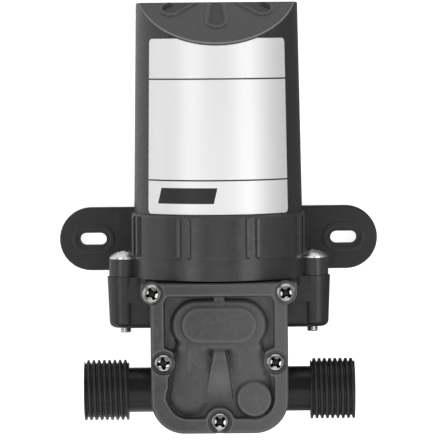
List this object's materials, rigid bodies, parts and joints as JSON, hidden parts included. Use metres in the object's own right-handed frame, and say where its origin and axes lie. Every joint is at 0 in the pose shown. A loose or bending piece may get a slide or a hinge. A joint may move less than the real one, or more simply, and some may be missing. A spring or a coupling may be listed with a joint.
{
  "type": "diaphragm pump",
  "caption": "Small 12 V diaphragm pump with a round shrouded motor, a slotted mounting foot and a square pump head with two outside-threaded ports.",
  "frame": {"origin": "midway between the two foot slots, on the mounting plane", "axes": "+Z out of the mounting plane, +Y along the motor's axis towards the motor's closed end, +X along the ports towards the outlet"},
  "size_m": [0.1134, 0.1473, 0.0639],
  "materials": {
    "foot_plastic": "matt moulded black",
    "collar_plastic": "matt moulded black",
    "shroud_plastic": "satin moulded black",
    "body_plastic": "matt moulded black",
    "port_plastic": "satin moulded black",
    "cover_plastic": "matt grey-black, glass-filled",
    "moulded_plastic": "natural moulded",
    "silver_foil": "bright metallised film",
    "zinc_steel": "bright zinc plate",
    "nickel_steel": "bright nickel plate",
    "spring_steel": "bright wire",
    "can_steel": "black passivated",
    "core_steel": "stacked laminations",
    "shaft_steel": "ground",
    "copper_wire": "enamelled copper wire",
    "copper_bars": "turned copper",
    "bearing_bronze": "sintered",
    "ferrite": "sintered, ground",
    "carbon": "pressed carbon",
    "seal_rubber": "moulded rubber"
  },
  "bodies": {
    "housing": {"mounting_foot": "foot_plastic", "foot_screws": "zinc_steel", "motor_flange": "collar_plastic", "flange_bolts": "zinc_steel", "shroud_seal": "seal_rubber", "motor_shroud": "shroud_plastic", "rating_label": "silver_foil", "cable_grommet": "seal_rubber", "motor_can": "can_steel", "rear_bush": "bearing_bronze", "field_magnets": "ferrite", "tie_bolts": "zinc_steel", "brush_plate": "moulded_plastic", "carbon_brushes": "carbon", "brush_springs": "spring_steel", "front_bearing_outer": "shaft_steel", "front_bearing_balls": "shaft_steel", "diaphragm": "seal_rubber", "pump_body": "body_plastic", "port_housing": "port_plastic", "inlet_valves": "seal_rubber", "outlet_valves": "seal_rubber", "cover_gasket": "seal_rubber", "head_cover": "cover_plastic", "head_screws": "nickel_steel"},
    "rotor": {"armature_core": "core_steel", "armature_winding": "copper_wire", "commutator": "copper_bars", "motor_shaft": "shaft_steel", "front_bearing_inner": "shaft_steel", "eccentric": "shaft_steel", "eccentric_screw": "shaft_steel", "rod_bearing_inner": "shaft_steel", "bearing_clip": "spring_steel"},
    "rod": {"rod_bearing_balls": "shaft_steel", "rod_bearing_outer": "shaft_steel", "connecting_rod": "moulded_plastic", "pistons": "moulded_plastic", "piston_screws": "zinc_steel"}
  },
  "joints": [
    {"name": "rotor_spin", "type": "hinge", "parent": "housing", "child": "rotor", "pos_m": [0, 0, 0.032], "axis": [0, 1, 0], "continuous": true},
    {"name": "rod_orbit", "type": "hinge", "parent": "rotor", "child": "rod", "pos_m": [0, -0.0264, 0.0308], "axis": [0, 1, 0], "continuous": true, "deforming": ["diaphragm"]}
  ],
  "couplings": [
    {"joint": "rod_orbit", "follows": "rotor_spin", "ratio": -1}
  ]
}
